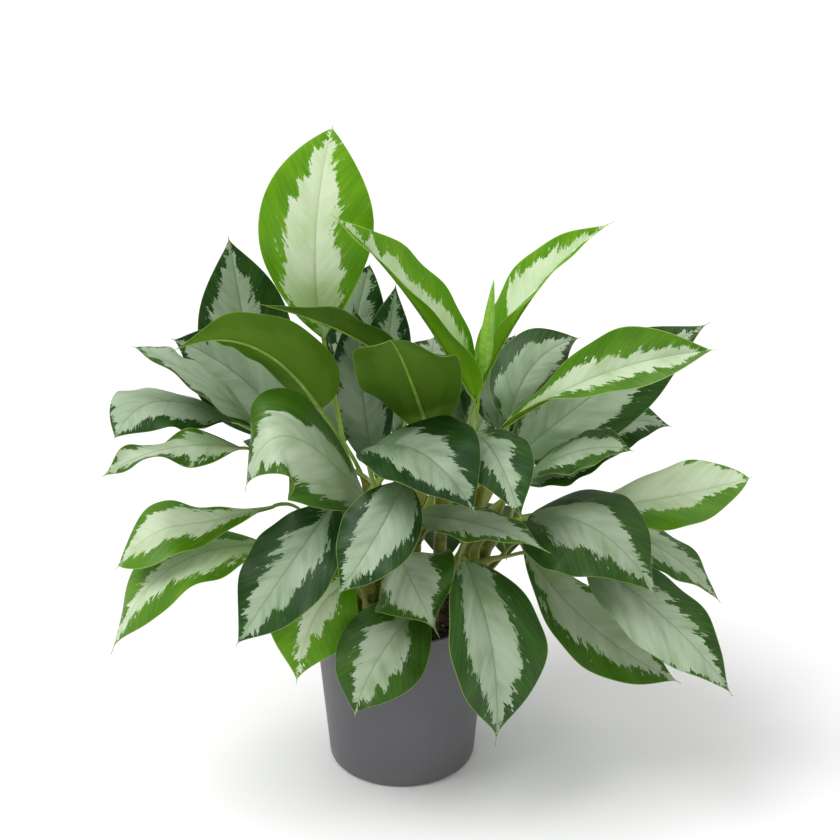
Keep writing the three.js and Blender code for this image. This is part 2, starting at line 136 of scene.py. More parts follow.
def new_piece(name, places, faces, smooth=True):
    """A mesh object from places in millimetres."""
    mesh = bpy.data.meshes.new(name)
    mesh.from_pydata((np.asarray(places) * 0.001).tolist(), [], faces)
    mesh.polygons.foreach_set("use_smooth", [smooth] * len(mesh.polygons))
    piece = bpy.data.objects.new(name, mesh)
    bpy.context.scene.collection.objects.link(piece)
    return piece


def settle(piece, slot, *nodes):
    """The piece rides on the plant and stands for CAD nodes, which it hides.
    The slot is not used.
    """
    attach(piece, "root")
    if nodes:
        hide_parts(*nodes)


def pot_radius_at(z):
    """The pot's outer radius at a height."""
    return POT_FOOT_RADIUS + (POT_TOP_RADIUS - POT_FOOT_RADIUS) * z / POT_HEIGHT


def pot_profile():
    """Radius and height pairs from the middle of the underside, over the rim, to the floor."""
    foot = []
    for step in np.linspace(0, 1, 8).tolist():
        angle = math.pi / 2 * step
        radius = POT_FOOT_RADIUS - POT_FOOT_ROUNDING * (1 - math.sin(angle)) + 0.5 * step
        foot.append((radius, POT_FOOT_ROUNDING * (1 - math.cos(angle))))
    outside = [(pot_radius_at(z), z) for z in (20, 60, 110, 150, 180, 197, 199.6)]
    bead = ((0.3, -4.6), (0.8, -3), (0.6, -1.2), (-0.2, -0.2), (-1, -0.4), (-1.6, -2))
    rim = [(POT_TOP_RADIUS + x, POT_HEIGHT + z) for x, z in bead]
    inside = [(pot_radius_at(z) - POT_WALL, z) for z in (199, 150, 100, 50, 20)]
    inside += [(radius - POT_WALL, z + POT_FLOOR) for radius, z in reversed(foot)]
    across = (0.5, 30, POT_HOLLOW_RADIUS)
    underside = [(radius, POT_HOLLOW) for radius in across] + [(POT_HOLLOW_RADIUS + 4, 0)]
    floor_top = [(radius, POT_FLOOR) for radius in reversed(across)]
    return underside + foot + outside + rim + inside + floor_top


def faces_round(rings, sides):
    """The quads between rings of places, and a plate over either end."""
    faces = []
    for ring in range(rings - 1):
        for i in range(sides):
            a, b = ring * sides + i, ring * sides + (i + 1) % sides
            faces.append((a, b, b + sides, a + sides))
    last = (rings - 1) * sides
    return faces + [tuple(range(sides))[::-1], tuple(range(last, last + sides))]


def lathe(profile, sides):
    """A closed skin about Z, through pairs of a radius and a height."""
    turn = np.arange(sides) * 2 * math.pi / sides
    places = [(r * math.cos(a), r * math.sin(a), z) for r, z in profile for a in turn]
    return places, faces_round(len(profile), sides)


def cut_out(piece, cutter):
    """Takes the cutter's volume out of the piece and keeps the result as its mesh."""
    cut = piece.modifiers.new("cut", "BOOLEAN")
    cut.operation, cut.object, cut.solver = "DIFFERENCE", cutter, "EXACT"
    whole = piece.evaluated_get(bpy.context.evaluated_depsgraph_get())
    piece.data = bpy.data.meshes.new_from_object(whole)
    piece.modifiers.clear()
    bpy.data.objects.remove(cutter)


pot = new_piece("pot_shell", *lathe(pot_profile(), POT_SIDES))
for i in range(DRAIN_HOLES):
    angle = 2 * math.pi * i / DRAIN_HOLES
    places, faces = lathe([(DRAIN_RADIUS, -4), (DRAIN_RADIUS, POT_FLOOR + 4)], 24)
    shift = np.array((DRAIN_CIRCLE * math.cos(angle), DRAIN_CIRCLE * math.sin(angle), 0))
    cut_out(pot, new_piece("drain_hole", np.array(places) + shift, faces))
pot.data.polygons.foreach_set("use_smooth", [True] * len(pot.data.polygons))
pot.data.set_sharp_from_angle(angle=math.radians(32))

moulded, tree, out = new_material("moulded_pot_plastic")
place = place_node(tree, "TexCoord").outputs["Object"]
cloudy = noise(tree, place, 9.0, 3.0)
grain = noise(tree, place, 1400.0, 2.0)
scuffs = noise(tree, stretched(tree, place, 60, 60, 420), 1.0, 4.0, 0.65)
height = place_node(tree, "SeparateXYZ", {0: place}).outputs[2]
dust = ease(tree, sum_of(tree, "ADD", height, sum_of(tree, "MULTIPLY", cloudy, 0.03)), 0.045, 0.012)
colour = blend_colours(tree, ease(tree, cloudy, 0.3, 0.7), paint(86, 86, 90), paint(95, 95, 98))
colour = blend_colours(tree, ease(tree, scuffs, 0.66, 0.78, 0, 0.35), colour, paint(120, 120, 121))
colour = blend_colours(tree, sum_of(tree, "MULTIPLY", dust, 0.3), colour, paint(112, 108, 103))
worn = sum_of(tree, "ADD", cloudy, sum_of(tree, "MULTIPLY", scuffs, 0.4))
plain_surface(tree, out, colour, ease(tree, worn, 0.4, 1.0, 0.42, 0.6), grain, 0.00006)
pot.data.materials.append(moulded)
settle(pot, "pot", "pot")


# ---------------------------------------------------------------- the potting mix
# A slightly mounded bed of dark peat and bark, filled to just under the rim. Loose crumbs of
# bark and a few white grains of perlite lie on it.

MIX_LEVEL, MIX_MOUND = 188, 6
MIX_SIDES, MIX_RINGS, MIX_FOOT_RADIUS = 110, 46, POT_FOOT_RADIUS - 12
BRIM_GAP, WALL_GAP, FLOOR_GAP = 0.25, 0.4, 0.3
CRUMBS, PERLITE_GRAINS = 1500, 70

draw = np.random.default_rng(7)


def mix_height(x, y):
    """The height of the bed at a place, crumbly and highest in the middle."""
    r = math.hypot(x, y) / pot_radius_at(MIX_LEVEL)
    lumps = 1.6 * mathutils_noise.noise((x / 9, y / 9, 3))
    crumbs = 1.1 * mathutils_noise.noise((x / 3, y / 3, 8))
    return MIX_LEVEL - 1 + MIX_MOUND * (1 - r * r) + (lumps + crumbs)


def mix_bed():
    """A closed plug of mix, from the middle of its bed down the pot's wall to the floor."""
    brim = pot_radius_at(MIX_LEVEL) - POT_WALL - BRIM_GAP
    bed_rings = [(brim * max(ring, 0.05) / MIX_RINGS, 0) for ring in range(MIX_RINGS + 1)]
    sides = [(pot_radius_at(z) - POT_WALL - WALL_GAP, z) for z in (150, 100, 50, 12)]
    bottom = (MIX_FOOT_RADIUS, POT_FLOOR + FLOOR_GAP)
    places, faces = lathe([*bed_rings, *sides, bottom], MIX_SIDES)
    bed_places = [(x, y, mix_height(x, y)) for x, y, _ in places[:len(bed_rings) * MIX_SIDES]]
    return bed_places + places[len(bed_places):], [(face[0], *face[:0:-1]) for face in faces]


bed = new_piece("potting_mix", *mix_bed())
bed.data.set_sharp_from_angle(angle=math.radians(60))

peat, tree, out = new_material("peat_and_bark")
place = place_node(tree, "TexCoord").outputs["Object"]
patches = noise(tree, place, 70.0, 4.0, 0.6)
grit = noise(tree, place, 700.0, 3.0, 0.7)
colour = blend_colours(tree, ease(tree, patches, 0.35, 0.7), paint(38, 28, 21), paint(74, 55, 40))
colour = blend_colours(tree, ease(tree, grit, 0.6, 0.8, 0, 0.7), colour, paint(104, 82, 62))
damp = ease(tree, patches, 0.3, 0.7, 0.75, 0.96)
plain_surface(tree, out, colour, damp, grit, 0.0008)

perlite, tree, out = new_material("perlite")
place = place_node(tree, "TexCoord").outputs["Object"]
pores = noise(tree, place, 1500.0, 3.0)
colour = blend_colours(tree, pores, paint(196, 188, 172), paint(238, 234, 226))
plain_surface(tree, out, colour, 0.9, pores, 0.0004)


def loose_grains(count, smallest, largest, flatness):
    """Jittered twenty-sided grains, scattered over the bed."""
    ball = bmesh.new()
    bmesh.ops.create_icosphere(ball, subdivisions=1, radius=1)
    corners = np.array([v.co for v in ball.verts])
    sides = [[v.index for v in face.verts] for face in ball.faces]
    ball.free()
    places, faces = [], []
    for _ in range(count):
        radius = (pot_radius_at(MIX_LEVEL) - 5) * math.sqrt(draw.uniform())
        angle = draw.uniform(0, 2 * math.pi)
        x, y = radius * math.cos(angle), radius * math.sin(angle)
        size = smallest + (largest - smallest) * draw.uniform() ** 3
        shape = corners * draw.uniform(0.7, 1.25, corners.shape) * (size, size * 0.7, size * flatness)
        turn = Euler(draw.uniform(-0.5, 0.5, 2).tolist() + [draw.uniform(0, 6.28)]).to_matrix()
        shape = shape @ np.array(turn).T
        start = len(places)
        places += (shape + (x, y, mix_height(x, y) + 0.25 * size)).tolist()
        faces += [[start + i for i in side] for side in sides]
    return places, faces


for name, count, sizes, flatness, finish in (
    ("bark_crumbs", CRUMBS, (0.9, 4.2), 0.6, peat),
    ("perlite_grains", PERLITE_GRAINS, (0.9, 2.0), 0.9, perlite),
):
    grains = new_piece(name, *loose_grains(count, *sizes, flatness), smooth=False)
    grains.data.materials.append(finish)
    settle(grains, "soil")
bed.data.materials.append(peat)
settle(bed, "soil", "soil")


# ---------------------------------------------------------------- the canes
# Nine short fleshy canes stand in the mix. Each is olive green, paler where it is young, and
# ringed every centimetre or two by the scars of leaves that it has shed.

CANE_FOOT_RADIUS, CANE_TOP_RADIUS, CANE_BURIED = 9.5, 8.0, 54.7
CANE_SIDES, CANE_RINGS, SCAR_SPACING = 28, 90, 13
CANES = {  # Each has the place where it leaves the mix, then its top.
    "left": ((-48, 2), (-66, 2, 300)),
    "left_back": ((-30, 48), (-48, 62, 300)),
    "front_left": ((-24, -50), (-40, -60, 258)),
    "centre": ((4, -14), (-4, -18, 300)),
    "front": ((34, -58), (40, -68, 262)),
    "middle": ((42, 2), (48, 4, 330)),
    "right": ((80, -22), (94, -28, 288)),
    "right_back": ((70, 44), (88, 60, 300)),
    "back": ((14, 66), (18, 88, 290)),
}


def unit(vectors):
    """Each vector at a length of one."""
    return vectors / np.linalg.norm(vectors, axis=-1, keepdims=True)


def dot(first, second):
    """The dot products of two lists of vectors, as a column."""
    return np.sum(first * second, axis=-1, keepdims=True)


def bent(points, s):
    """Places and directions along a cubic curve, for a column of values from 0 to 1."""
    a, b, c, d = (np.asarray(point, float) for point in points)
    s = np.asarray(s, float).reshape(-1, 1)
    r = 1 - s
    places = r**3 * a + 3 * r * r * s * b + 3 * r * s * s * c + s**3 * d
    return places, unit(3 * r * r * (b - a) + 6 * r * s * (c - b) + 3 * s * s * (d - c))


def run_along(places):
    """How far each of a row of places lies from the first."""
    return np.concatenate(([0], np.cumsum(np.linalg.norm(np.diff(places, axis=0), axis=1))))


def frame_at(along, side_hint):
    """The directions to a leaf's right edge and away from its upper face."""
    side = unit(side_hint - along * dot(side_hint, along))
    return side, np.cross(side, along)


def tube(rings):
    """A closed skin over rings of equally many places."""
    return rings.reshape(-1, 3), faces_round(*rings.shape[:2])


def cane_curve(name):
    """The four points of a cane's curve: straight up through the mix, then to its top."""
    (x, y), top = CANES[name]
    collar = (x, y, MIX_LEVEL + 2 * MIX_MOUND)
    return (x, y, MIX_LEVEL - CANE_BURIED), collar, collar, top


def cane_radius_at(s):
    """The cane's radius, from 0 at its foot to 1 at its top."""
    return CANE_FOOT_RADIUS + (CANE_TOP_RADIUS - CANE_FOOT_RADIUS) * s


def keep_place(piece, name, *numbers):
    """Stores three numbers at each vertex for the materials to read."""
    values = np.stack(np.broadcast_arrays(*numbers), -1).astype(np.float32)
    stored = piece.data.attributes.new(name, "FLOAT_VECTOR", "POINT")
    stored.data.foreach_set("vector", values.ravel())


def cane_piece(name, seed):
    """A cane with a low swelling and a groove at each scar, rounded off at its top."""
    s = np.linspace(0, 1, CANE_RINGS)
    middle, along = bent(cane_curve(name), s)
    side, out = frame_at(along, np.array((1.0, 0, 0)))
    length = run_along(middle)
    scar = np.abs((length + 5 * seed) % SCAR_SPACING - SCAR_SPACING / 2)
    swelling = 0.55 * np.exp(-((scar / 1.1) ** 2)) - 0.35 * np.exp(-(((scar - 2.2) / 1.2) ** 2))
    radius = (cane_radius_at(s) - 0.5 + swelling) * np.clip((length[-1] - length) / 4, 0.05, 1) ** 0.4
    turn = np.arange(CANE_SIDES) * 2 * math.pi / CANE_SIDES
    wobble = 1 + 0.025 * np.sin(2 * turn + seed)[None, :, None]
    rings = middle[:, None] + radius[:, None, None] * wobble * (
        np.cos(turn)[None, :, None] * side[:, None] - np.sin(turn)[None, :, None] * out[:, None]
    )
    cane = new_piece(f"cane_{name}_stem", *tube(rings))
    keep_place(cane, "stem_place", turn[None] * 8, length[:, None], scar[:, None])
    return cane


def fibres_group():
    """Fine lengthwise fibres and mottling of a fleshy stem, from the place kept on its mesh.
    Its third number marks a cane's scars, and a painted highlight along a stalk's channel lips.
    """
    masks = ("Fibres", "Mottling", "Along", "Scars_And_Painted_Sheen")
    group, _, outputs = new_group("stem_fibres", {}, dict.fromkeys(masks, "number"))
    place = place_node(group, "Attribute", attribute_name="stem_place").outputs["Vector"]
    parts = place_node(group, "SeparateXYZ", {0: place}).outputs
    threads = noise(group, stretched(group, place, 1.1, 0.05, 0), 1.0, 3.0)
    mottling = noise(group, stretched(group, place, 0.12, 0.1, 0), 1.0, 3.0)
    for mask, value in zip(masks, (threads, mottling, parts[1], parts[2])):
        group.links.new(value, outputs[mask])
    return group


stem_fibres = fibres_group()


def stem_skin(name, mottling, colours, overlays, shine, depth):
    """A stem's skin: two mottled colours, then each overlay's colour where its mask says."""
    skin, tree, out = new_material(name)
    fibres = place_node(tree, "Group", node_tree=stem_fibres).outputs
    mottled = ease(tree, fibres["Mottling"], *mottling)
    colour = blend_colours(tree, mottled, *(paint(*each) for each in colours))
    for mask, limits, over in overlays:
        colour = blend_colours(tree, ease(tree, fibres[mask], *limits), colour, paint(*over))
    roughness = ease(tree, fibres["Fibres"], 0.3, 0.7, *shine)
    plain_surface(tree, out, colour, roughness, fibres["Fibres"], depth)
    return skin


cane_skin = stem_skin(
    "cane_skin", (0.35, 0.65), ((98, 102, 26), (136, 138, 50)),
    (("Along", (48, 20), (112, 98, 54)), ("Scars_And_Painted_Sheen", (1.6, 0.4, 0, 0.6), (96, 86, 40))),
    (0.42, 0.6), 0.0004,
)
for seed, name in enumerate(CANES):
    cane = cane_piece(name, seed)
    cane.data.materials.append(cane_skin)
    settle(cane, "cane", f"cane_{name}")


# ---------------------------------------------------------------- where the leaves stand
# Each leaf leaves its cane on a fleshy stalk of its own, the highest carried one highest, and
# opens in a broad blade. The table gives each midrib from its base through its middle to its
# tip, and where the upper side looks.

# "widest" is where along the blade it is widest, and a higher "point" draws its tip out finer.
# "fold" lifts both halves, "curl" turns their margins back and "twist" turns the blade along its
# midrib, in degrees. "droop" is how far the tip sinks, "wave" the height of the margins' waves
# and "ripples" their number. "lean" shifts the stalk's middle, and "sheath" is the share of the
# stalk that its wings reach. "silver" is how much of the left and the right half is silver, and
# "flare" widens that near the base. "young" runs from an old leaf's dark green at 0 to a new
# one's bright green at 1. "deep" is painted shade: it darkens a leaf that stands in the shade of
# the others.
LEAF_DEFAULTS = dict(
    width=105, fold=10, curl=10, twist=0, wave=3, ripples=1.5, droop=0, widest=0.45, point=0.5,
    lean=(0, 0, 0), silver=(0.6, 0.6), flare=0.15, young=0.2, deep=0, sheath=0.5,
)
LEAVES = {
    "top_upright": dict(
        cane="left", base=(-85, 0, 530), middle=(-90, -10, 650), tip=(-70, 20, 765),
        face=(0.05, -0.97, 0.2), width=124, widest=0.55, point=0.1, fold=8, curl=8, lean=(2, -34, 0),
        silver=(0.6, 0.47), flare=0.4, young=1.0),
    "left_arching": dict(
        cane="left", base=(-87, -42, 462), middle=(-155, -85, 550), tip=(-235, -120, 555),
        face=(0.1, 0.9, 0.4), width=94, widest=0.25, fold=42, young=0.75, deep=0.25),
    "middle_arching": dict(
        cane="left", base=(0, -10, 495), middle=(-60, -45, 553), tip=(-150, -80, 595),
        face=(0.2, 0.6, 0.75), width=58, widest=0.36, fold=35, lean=(0, -6, 0), young=0.6, deep=0.3),
    "centre_leaning": dict(
        cane="centre", base=(35, -40, 425), middle=(8, -120, 537), tip=(-8, -186, 590),
        face=(0.1, 0.75, 0.6), width=112, widest=0.5, wave=7, ripples=2, young=0.6, deep=0.24),
    "left_folded": dict(
        cane="middle", base=(80, -38, 476), middle=(7, -46, 597), tip=(-70, -60, 685),
        face=(0.71, -0.34, 0.6), width=88, widest=0.33, fold=46, curl=6, twist=-60,
        silver=(0.35, 0.5), young=1.0),
    "right_folded": dict(
        cane="middle", base=(85, 12, 456), middle=(153, 12, 586), tip=(236, 30, 656),
        face=(-0.71, -0.34, 0.6), width=78, widest=0.33, fold=46, twist=60, sheath=0.95,
        silver=(0.7, 0.7), flare=-4, young=1.0),
    "right_bright": dict(
        cane="middle", base=(107, -35, 433), middle=(212, -80, 515), tip=(330, -120, 558),
        face=(-0.2, -0.5, 0.8), width=80, widest=0.6, fold=35, twist=80, silver=(0.5, 0.7), young=0.7),
    "back_left_upright": dict(
        cane="left_back", base=(-170, 70, 395), middle=(-185, 100, 515), tip=(-200, 110, 620),
        face=(0.2, -0.9, 0.3), width=112, widest=0.43, fold=12, silver=(0.75, 0.5)),
    "left_upper": dict(
        cane="left", base=(-165, -30, 445), middle=(-222, -58, 508), tip=(-285, -70, 545),
        face=(-0.2, -0.15, 0.95), width=98, silver=(1.0, 1.2), young=0.35),
    "left_upper_behind": dict(
        cane="left_back", base=(-115, 10, 405), middle=(-185, 10, 485), tip=(-255, 0, 530),
        face=(-0.2, -0.7, 0.7), lean=(0, 6, -4), silver=(0.7, 0.78), young=0.1),
    "left_middle_behind": dict(
        cane="left", base=(-180, -28, 441), middle=(-250, -70, 482), tip=(-298, -136, 482),
        face=(0, -0.3, 0.95), width=98, widest=0.55, point=0.2, fold=5, curl=15, droop=20,
        lean=(0, 0, 4), silver=(0.8, 1.25), young=0.15),
    "left_middle": dict(
        cane="left", base=(-172, -82, 433), middle=(-240, -154, 461), tip=(-305, -168, 436),
        face=(0, -0.2, 0.98), width=57, wave=13, lean=(0, 4, 8), silver=(0.75, 0.7), young=0.45),
    # The left front leaf's "young" of 0.5 is partly its own paler green and partly painted light,
    # lightening a leaf that faces the light.
    "left_front": dict(
        cane="front_left", base=(-38, -76, 368), middle=(-116, -136, 468), tip=(-163, -135, 404),
        face=(0.42, -0.6, 0.7), width=136, widest=0.4, fold=2, curl=12, lean=(-5, 5, 0),
        silver=(0.8, 0.5), flare=-0.2, young=0.5),
    "behind_top": dict(
        cane="left_back", base=(-65, 70, 430), middle=(-55, 90, 510), tip=(-35, 100, 590),
        face=(0, -0.9, 0.4), width=68, widest=0.55, point=0.1, lean=(0, 4, 0), silver=(0.7, 0.6),
        young=0),
    "behind_middle": dict(
        cane="centre", base=(-20, 50, 430), middle=(-15, 60, 500), tip=(-5, 70, 575),
        face=(0, -0.9, 0.4), width=55, young=0.05),
    "shaded_upright": dict(
        cane="centre", base=(-31, 9, 372), middle=(-45, 26, 470), tip=(-53, 44, 558),
        face=(0.1, -0.95, 0.3), width=70, lean=(0, 14, 0), silver=(0.8, 0.55), young=0, deep=0.45),
    "centre_front": dict(
        cane="centre", base=(-30, -60, 425), middle=(28, -150, 452), tip=(80, -196, 404),
        face=(0.1, -0.5, 0.85), width=120, fold=24, curl=14, silver=(0.5, 0.72), young=0.08,
        deep=0.15),
    "centre_front_behind": dict(
        cane="front", base=(80, -62, 442), middle=(103, -138, 443), tip=(127, -186, 394),
        face=(0.1, -0.6, 0.77), width=78, fold=20, curl=14, silver=(0.5, 0.62), flare=-0.3,
        young=0.15),
    "twisted_centre": dict(
        cane="front", base=(14, -80, 352), middle=(92, -138, 366), tip=(158, -184, 356),
        face=(0, -0.1, 1), width=64, twist=-40, lean=(-2, 10, 0), silver=(0.85, 0.85), young=0.5),
    "right_behind": dict(
        cane="right_back", base=(125, 30, 420), middle=(155, 70, 475), tip=(210, 80, 505),
        face=(-0.2, -0.7, 0.7), width=90, silver=(0.6, 0.7)),
    "right_behind_inner": dict(
        cane="right_back", base=(115, 70, 395), middle=(120, 90, 455), tip=(135, 110, 500),
        face=(0, -0.9, 0.4), width=80, deep=0.3),
    "right_long": dict(
        cane="right_back", base=(125, -10, 385), middle=(235, 20, 468), tip=(350, 30, 540),
        face=(-0.2, -0.85, 0.5), width=104, fold=8, lean=(4, 2, 0), silver=(0.72, 0.62)),
    "right_middle": dict(
        cane="right", base=(145, -40, 385), middle=(200, -80, 430), tip=(250, -110, 440),
        face=(0, -0.4, 0.9), width=66, young=0.35),
    "right_under": dict(
        cane="right", base=(141, -28, 369), middle=(192, -60, 402), tip=(245, -80, 428),
        face=(0, -0.4, 0.9), width=48, young=0.3),
    "right_far_behind": dict(
        cane="right_back", base=(185, 40, 375), middle=(255, 60, 405), tip=(320, 60, 400),
        face=(0, -0.5, 0.85), width=72, young=0.25),
    "right_front": dict(
        cane="right", base=(145, -70, 348), middle=(215, -130, 355), tip=(275, -170, 295),
        face=(0.3, -0.6, 0.75), width=142, widest=0.35, fold=2, silver=(0.5, 0.56), flare=-0.5,
        young=0.35, deep=0.22),
    "right_far": dict(
        cane="right_back", base=(186, 0, 318), middle=(300, -20, 345), tip=(395, -40, 380),
        face=(0, -0.5, 0.87), width=88, widest=0.62, point=0.05, silver=(1.25, 0.5), young=0.8),
    "right_low": dict(
        cane="right", base=(235, 30, 290), middle=(315, 10, 260), tip=(375, -20, 210),
        face=(0.3, -0.2, 0.9), width=80, lean=(0, 8, -14), silver=(0.7, 0.75), young=0.5),
    "right_hanging": dict(
        cane="right", base=(140, -30, 290), middle=(215, -80, 215), tip=(320, -100, 150),
        face=(0.2, -0.6, 0.77), width=92, widest=0.58, silver=(0.8, 0.6), young=0.6, deep=0.2),
    "right_hanging_outer": dict(
        cane="right", base=(212, -80, 293), middle=(299, -140, 246), tip=(365, -160, 170),
        face=(0.3, -0.6, 0.75), width=95, widest=0.38, wave=5, silver=(0.5, 1.15), young=0.3),
    "front_hanging": dict(
        cane="front", base=(72, -100, 306), middle=(100, -165, 230), tip=(105, -175, 115),
        face=(0.5, -0.8, 0.3), width=124, widest=0.48, point=1.2, fold=26, silver=(0.52, 0.6),
        flare=0.3, young=0.3),
    "front_low": dict(
        cane="front", base=(24, -99, 254), middle=(-25, -159, 213), tip=(-50, -170, 150),
        face=(-0.1, -0.9, 0.4), width=100, widest=0.43, fold=6, silver=(0.5, 0.5), flare=-0.6,
        young=0.45, deep=0.15),
    "front_waved": dict(
        cane="front_left", base=(-2, -75, 303), middle=(13, -136, 299), tip=(43, -173, 250),
        face=(-0.35, -0.5, 0.8), width=112, point=2, fold=-8, wave=-16, ripples=1, silver=(0.7, 0.7),
        young=0.45),
    "front_silver": dict(
        cane="centre", base=(5, -110, 405), middle=(-25, -165, 365), tip=(-65, -190, 310),
        face=(-0.2, -0.8, 0.5), width=85, silver=(0.68, 0.65), young=0.12, deep=0.06),
    "front_left_silver": dict(
        cane="front_left", base=(-70, -70, 365), middle=(-119, -130, 315), tip=(-180, -150, 225),
        face=(-0.3, -0.7, 0.6), widest=0.53, lean=(-8, -8, 6), silver=(0.62, 0.5), flare=-0.7,
        young=0.15),
    "front_left_young": dict(
        cane="front_left", base=(-52, -84, 270), middle=(-92, -114, 250), tip=(-116, -136, 170),
        face=(0.2, -0.8, 0.55), width=122, fold=8, lean=(2, -8, -2), silver=(0.2, 0.3), flare=-0.1,
        young=1.0),
    "left_low": dict(
        cane="left", base=(-140, -50, 350), middle=(-226, -90, 346), tip=(-312, -112, 350),
        face=(-0.2, -0.5, 0.85), width=84, widest=0.72, point=0.1, fold=8, droop=50,
        silver=(0.58, 0.8), young=0.75),
    "left_lowest": dict(
        cane="front_left", base=(-145, -66, 306), middle=(-250, -112, 303), tip=(-320, -130, 205),
        face=(-0.3, -0.3, 0.9), width=104, widest=0.5, fold=8, wave=6, ripples=2, lean=(-4, 4, 8),
        silver=(0.6, 0.36), young=0.75),
    "back_upright": dict(
        cane="back", base=(30, 112, 385), middle=(36, 165, 440), tip=(40, 215, 462),
        face=(0, -0.7, 0.7), width=90, fold=12, deep=0.25),
    "back_right": dict(
        cane="right_back", base=(90, 110, 370), middle=(130, 200, 420), tip=(150, 280, 390),
        face=(0, -0.2, 0.97), fold=12),
    "back_right_low": dict(
        cane="right_back", base=(120, 90, 340), middle=(190, 150, 370), tip=(240, 200, 320),
        face=(0.1, 0, 0.99), width=100, fold=12),
    "back_centre_right": dict(
        cane="back", base=(50, 120, 360), middle=(60, 220, 400), tip=(60, 300, 350),
        face=(0, 0, 1), fold=12),
    "back_centre_left": dict(
        cane="back", base=(-10, 120, 370), middle=(-30, 210, 410), tip=(-50, 290, 360),
        face=(0, 0, 1), fold=12, deep=0.3),
    "back_left": dict(
        cane="left_back", base=(-70, 110, 360), middle=(-130, 180, 410), tip=(-170, 240, 370),
        face=(0, 0, 1), fold=12, deep=0.35),
    "back_left_low": dict(
        cane="left_back", base=(-90, 80, 330), middle=(-150, 130, 360), tip=(-200, 170, 330),
        face=(-0.1, 0, 0.99), width=95, fold=12, deep=0.35),
    "back_low_right": dict(
        cane="back", base=(84, 104, 284), middle=(118, 158, 236), tip=(136, 186, 160),
        face=(0.3, 0.7, 0.65), width=95, fold=12),
    "back_low_centre": dict(
        cane="back", base=(24, 113, 288), middle=(43, 150, 238), tip=(56, 172, 160),
        face=(0.1, 0.7, 0.7), width=84, fold=12, deep=0.35),
}
SPEAR = dict(cane="middle", base=(91, -30, 500), tip=(101, -34, 608), radius=7.5)
SEATS_BELOW_TOP, SEAT_STEP, SEAT_TURN = 10, 8, math.radians(50)


def seats_on(cane):
    """Where each stalk leaves its cane: the place, the cane's direction and radius, and the way out."""
    crown = np.array(CANES[cane][1], float)
    own = []
    for name, leaf in [*LEAVES.items(), ("spear", SPEAR)]:
        if leaf["cane"] == cane:
            lean = math.atan2(leaf["base"][1] - crown[1], leaf["base"][0] - crown[0])
            own.append((lean, name, leaf["base"][2]))
    own.sort(key=lambda seat: seat[0])
    step = min(2 * math.pi / len(own), SEAT_TURN)
    offsets = [lean - i * step for i, (lean, _, _) in enumerate(own)]
    start = math.atan2(sum(map(math.sin, offsets)), sum(map(math.cos, offsets)))
    by_height = sorted(own, key=lambda seat: -seat[2])
    s = np.linspace(0, 1, 400)
    middle, along = bent(cane_curve(cane), s)
    seats = {}
    for i, seat in enumerate(own):
        height = crown[2] - SEATS_BELOW_TOP - SEAT_STEP * by_height.index(seat)
        k = int(np.argmin(np.abs(middle[:, 2] - height)))
        outward = np.array((math.cos(start + i * step), math.sin(start + i * step), 0))
        seats[seat[1]] = (middle[k], along[k], cane_radius_at(s[k]), outward)
    return seats


# ---------------------------------------------------------------- the stalks
# A leaf stalk is a fleshy half-round rod with a channel along its upper side. Its foot is a
# thin-edged sheath that clasps the cane, and its top runs on under the blade as the midrib.

STALK_FOOT_RADIUS, STALK_NECK_RADIUS, STALK_RISE, STALK_REACH, STALK_SPLAY = 4.2, 2.4, 0.42, 0.3, 0.5
STALK_SIDES, STALK_RINGS, RIB_RINGS, RIB_TIP_RADIUS = 20, 30, 22, 0.4
STALK_TURN = math.pi * (1.05 + 2 * np.arange(STALK_SIDES) / STALK_SIDES)
WING_SPREAD, FOOT_SWELLING, STALK_CLEARANCE = 2.2, 1.3, 0.4
SHEATH_LENGTH, SHEATH_WRAP, SHEATH_FOOT = 0.36, 1.15, 5
SHEATH_THICKNESS, SHEATH_EDGE, SHEATH_SINK = 3.4, 0.5, 0.4
UP = np.array((0.0, 0.0, 1.0))


def soft_step(x, low, high):
    """A smooth rise from 0 to 1 between two values."""
    x = np.clip((x - low) / (high - low), 0, 1)
    return x * x * (3 - 2 * x)


def half_round(at, side, out, radius, channelled, wings=1):
    """A stalk's half-round cross-sections with their channel, widened by the sheath's wings."""
    angle = STALK_TURN[None, :, None]
    upper = np.maximum(0, -np.sin(angle))
    channelled = np.reshape(channelled, (-1, 1, 1))
    height = -np.sin(angle) - channelled * (0.4 + 0.7 * upper) * upper
    radius, wings = np.reshape(radius, (-1, 1, 1)), np.reshape(wings, (-1, 1, 1))
    return at[:, None] + radius * (wings * np.cos(angle) * side[:, None] + height * out[:, None])


def clasping(middle, along, cane_radius, outward, side, thickness):
    """A crescent round the cane, in the same order of places as half_round's."""
    across = np.cross(along, outward)
    if np.dot(across, side) < 0:
        across = -across
    v = np.linspace(-1, 1, STALK_SIDES // 2)
    inner = np.full_like(v, cane_radius - SHEATH_SINK)
    outer = inner + SHEATH_EDGE + thickness * np.sqrt(1 - 0.98 * v * v)
    faces_cane = np.dot(np.cross(side, along), outward) < 0
    upper, lower = (inner, outer) if faces_cane else (outer, inner)
    places = []
    for radii, turn in ((upper, v), (lower[::-1], v[::-1])):
        angle = SHEATH_WRAP * turn[:, None]
        way = np.cos(angle) * outward + np.sin(angle) * across
        places.append(middle + radii[:, None] * way)
    return np.concatenate(places)


